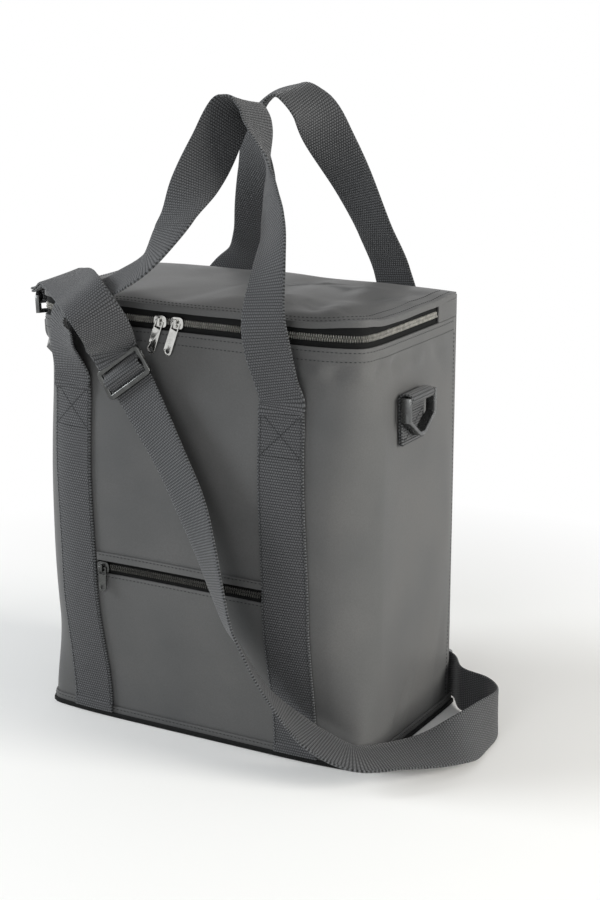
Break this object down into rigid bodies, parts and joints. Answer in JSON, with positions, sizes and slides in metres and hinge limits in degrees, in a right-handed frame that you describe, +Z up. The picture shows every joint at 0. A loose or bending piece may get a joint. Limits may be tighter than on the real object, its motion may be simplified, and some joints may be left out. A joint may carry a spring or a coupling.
{
  "type": "cooler bag",
  "caption": "Upright soft insulated bag with a zipped lid, webbing carry handles, a front zip pocket and a detachable shoulder strap on side rings.",
  "frame": {"origin": "middle of the base on the floor", "axes": "+X to the bag's right, -Y to its front, +Z up"},
  "size_m": [0.413, 0.2723, 0.506],
  "materials": {
    "body_fabric": "satin coated polyester, charcoal grey",
    "webbing": "ribbed woven polyester webbing, charcoal grey",
    "foam": "closed-cell foam",
    "board": "stiff sheet",
    "lining": "smooth wipe-clean sheet, pale grey",
    "zip_tape": "woven tape, near black",
    "zip_coil": "moulded coil, near black",
    "ring_metal": "dark satin with a pale face",
    "hook_metal": "dark satin",
    "slider_metal": "bright nickel finish"
  },
  "bodies": {
    "bag": {"base_panel": "body_fabric", "wrap_panel": "body_fabric", "back_panel": "body_fabric", "base_hem": "body_fabric", "rear_piping_left": "body_fabric", "rear_piping_right": "body_fabric", "lid_hinge_piping": "body_fabric", "zip_end_left": "body_fabric", "zip_end_right": "body_fabric", "pocket_welt": "body_fabric", "foam_wrap": "foam", "foam_back": "foam", "foam_base": "foam", "base_board": "board", "liner": "lining", "pocket_pouch": "lining", "rim_binding": "webbing", "front_webbing_left": "webbing", "front_webbing_right": "webbing", "back_webbing_left": "webbing", "back_webbing_right": "webbing", "ring_tab_left": "webbing", "ring_tab_right": "webbing", "shoulder_strap": "webbing", "body_zip_tape": "zip_tape", "pocket_zip_tape": "zip_tape", "body_zip_coil": "zip_coil", "pocket_zip_coil": "zip_coil", "hook_eye_right": "hook_metal", "tri_glide": "hook_metal"},
    "lid": {"lid_cover": "body_fabric", "lid_foam": "foam", "lid_liner": "lining", "lid_zip_tape": "zip_tape", "lid_zip_coil": "zip_coil"},
    "front_handle": {"front_handle": "webbing"},
    "back_handle": {"back_handle": "webbing"},
    "strap_bight": {"strap_bight": "webbing"},
    "zip_left_slider": {"zip_left_slider": "slider_metal"},
    "zip_right_slider": {"zip_right_slider": "slider_metal"},
    "zip_left_pull": {"zip_left_pull": "slider_metal"},
    "zip_right_pull": {"zip_right_pull": "slider_metal"},
    "pocket_slider": {"pocket_slider": "slider_metal"},
    "pocket_pull": {"pocket_pull": "slider_metal"},
    "d_ring_right": {"d_ring_right": "ring_metal"},
    "d_ring_left": {"d_ring_left": "ring_metal"},
    "hook_left": {"hook_left": "hook_metal"},
    "hook_eye_left": {"hook_eye_left": "hook_metal"},
    "hook_gate_left": {"hook_gate_left": "slider_metal"},
    "hook_right": {"hook_right": "hook_metal"},
    "hook_gate_right": {"hook_gate_right": "slider_metal"}
  },
  "joints": [
    {"name": "lid_hinge", "type": "hinge", "parent": "bag", "child": "lid", "pos_m": [0, 0.0753, 0.34485], "axis": [-1, 0, 0], "range_deg": [0, 100], "deforming": ["strap_bight"]},
    {"name": "front_handle_swing", "type": "hinge", "parent": "bag", "child": "front_handle", "pos_m": [0, -0.0956, 0.2793], "axis": [1, 0, 0], "range_deg": [0, 55]},
    {"name": "back_handle_swing", "type": "hinge", "parent": "bag", "child": "back_handle", "pos_m": [0, 0.085, 0.2793], "axis": [-1, 0, 0], "range_deg": [0, 45]},
    {"name": "strap_bight_swing", "type": "hinge", "parent": "bag", "child": "strap_bight", "pos_m": [-0.11522, -0.05799, 0.31175], "axis": [-0.8051, 0.5602, 0.1946], "range_deg": [0, 50]},
    {"name": "zip_left_slide", "type": "slide", "parent": "bag", "child": "zip_left_slider", "axis": [1, 0, 0], "range_m": [-0.035, 0.0015]},
    {"name": "zip_right_slide", "type": "slide", "parent": "bag", "child": "zip_right_slider", "axis": [1, 0, 0], "range_m": [-0.0015, 0.05]},
    {"name": "zip_left_pull_hinge", "type": "hinge", "parent": "zip_left_slider", "child": "zip_left_pull", "pos_m": [-0.02403, -0.0911, 0.33495], "axis": [-0.9397, 0, 0.342], "range_deg": [0, 120]},
    {"name": "zip_right_pull_hinge", "type": "hinge", "parent": "zip_right_slider", "child": "zip_right_pull", "pos_m": [-0.00901, -0.0911, 0.33495], "axis": [-0.9397, 0, 0.342], "range_deg": [0, 120]},
    {"name": "pocket_slide", "type": "slide", "parent": "bag", "child": "pocket_slider", "axis": [1, 0, 0], "range_m": [0, 0.095]},
    {"name": "pocket_pull_hinge", "type": "hinge", "parent": "pocket_slider", "child": "pocket_pull", "pos_m": [-0.074, -0.10398, 0.1355], "axis": [-1, 0, 0], "range_deg": [0, 120]},
    {"name": "right_ring_swing", "type": "hinge", "parent": "bag", "child": "d_ring_right", "pos_m": [0.15665, -0.014, 0.283], "axis": [0, -1, 0], "range_deg": [0, 150]},
    {"name": "left_ring_swing", "type": "hinge", "parent": "bag", "child": "d_ring_left", "pos_m": [-0.15665, -0.014, 0.283], "axis": [0, 1, 0], "range_deg": [-6, 6]},
    {"name": "left_hook_swing", "type": "hinge", "parent": "d_ring_left", "child": "hook_left", "pos_m": [-0.17911, -0.014, 0.30055], "axis": [0, 1, 0], "range_deg": [-8, 8]},
    {"name": "left_hook_swivel", "type": "hinge", "parent": "hook_left", "child": "hook_eye_left", "pos_m": [-0.18245, -0.01121, 0.328], "axis": [-0.1203, 0.1003, 0.9877], "range_deg": [-8, 8]},
    {"name": "left_gate_hinge", "type": "hinge", "parent": "hook_left", "child": "hook_gate_left", "pos_m": [-0.17226, -0.0133, 0.3084], "axis": [0.0121, 0.995, -0.0995], "range_deg": [0, 12]},
    {"name": "right_hook_swivel", "type": "hinge", "parent": "bag", "child": "hook_right", "pos_m": [0.0905, 0.12012, 0.0236], "axis": [1, 0, 0], "continuous": true},
    {"name": "right_gate_hinge", "type": "hinge", "parent": "hook_right", "child": "hook_gate_right", "pos_m": [0.1113, 0.11237, 0.0236], "axis": [0, 0, 1], "range_deg": [0, 25]}
  ],
  "couplings": [
    {"joint": "front_handle_swing", "follows": "lid_hinge", "ratio": 0.55},
    {"joint": "back_handle_swing", "follows": "lid_hinge", "ratio": 0.45},
    {"joint": "strap_bight_swing", "follows": "lid_hinge", "ratio": 0.5}
  ]
}
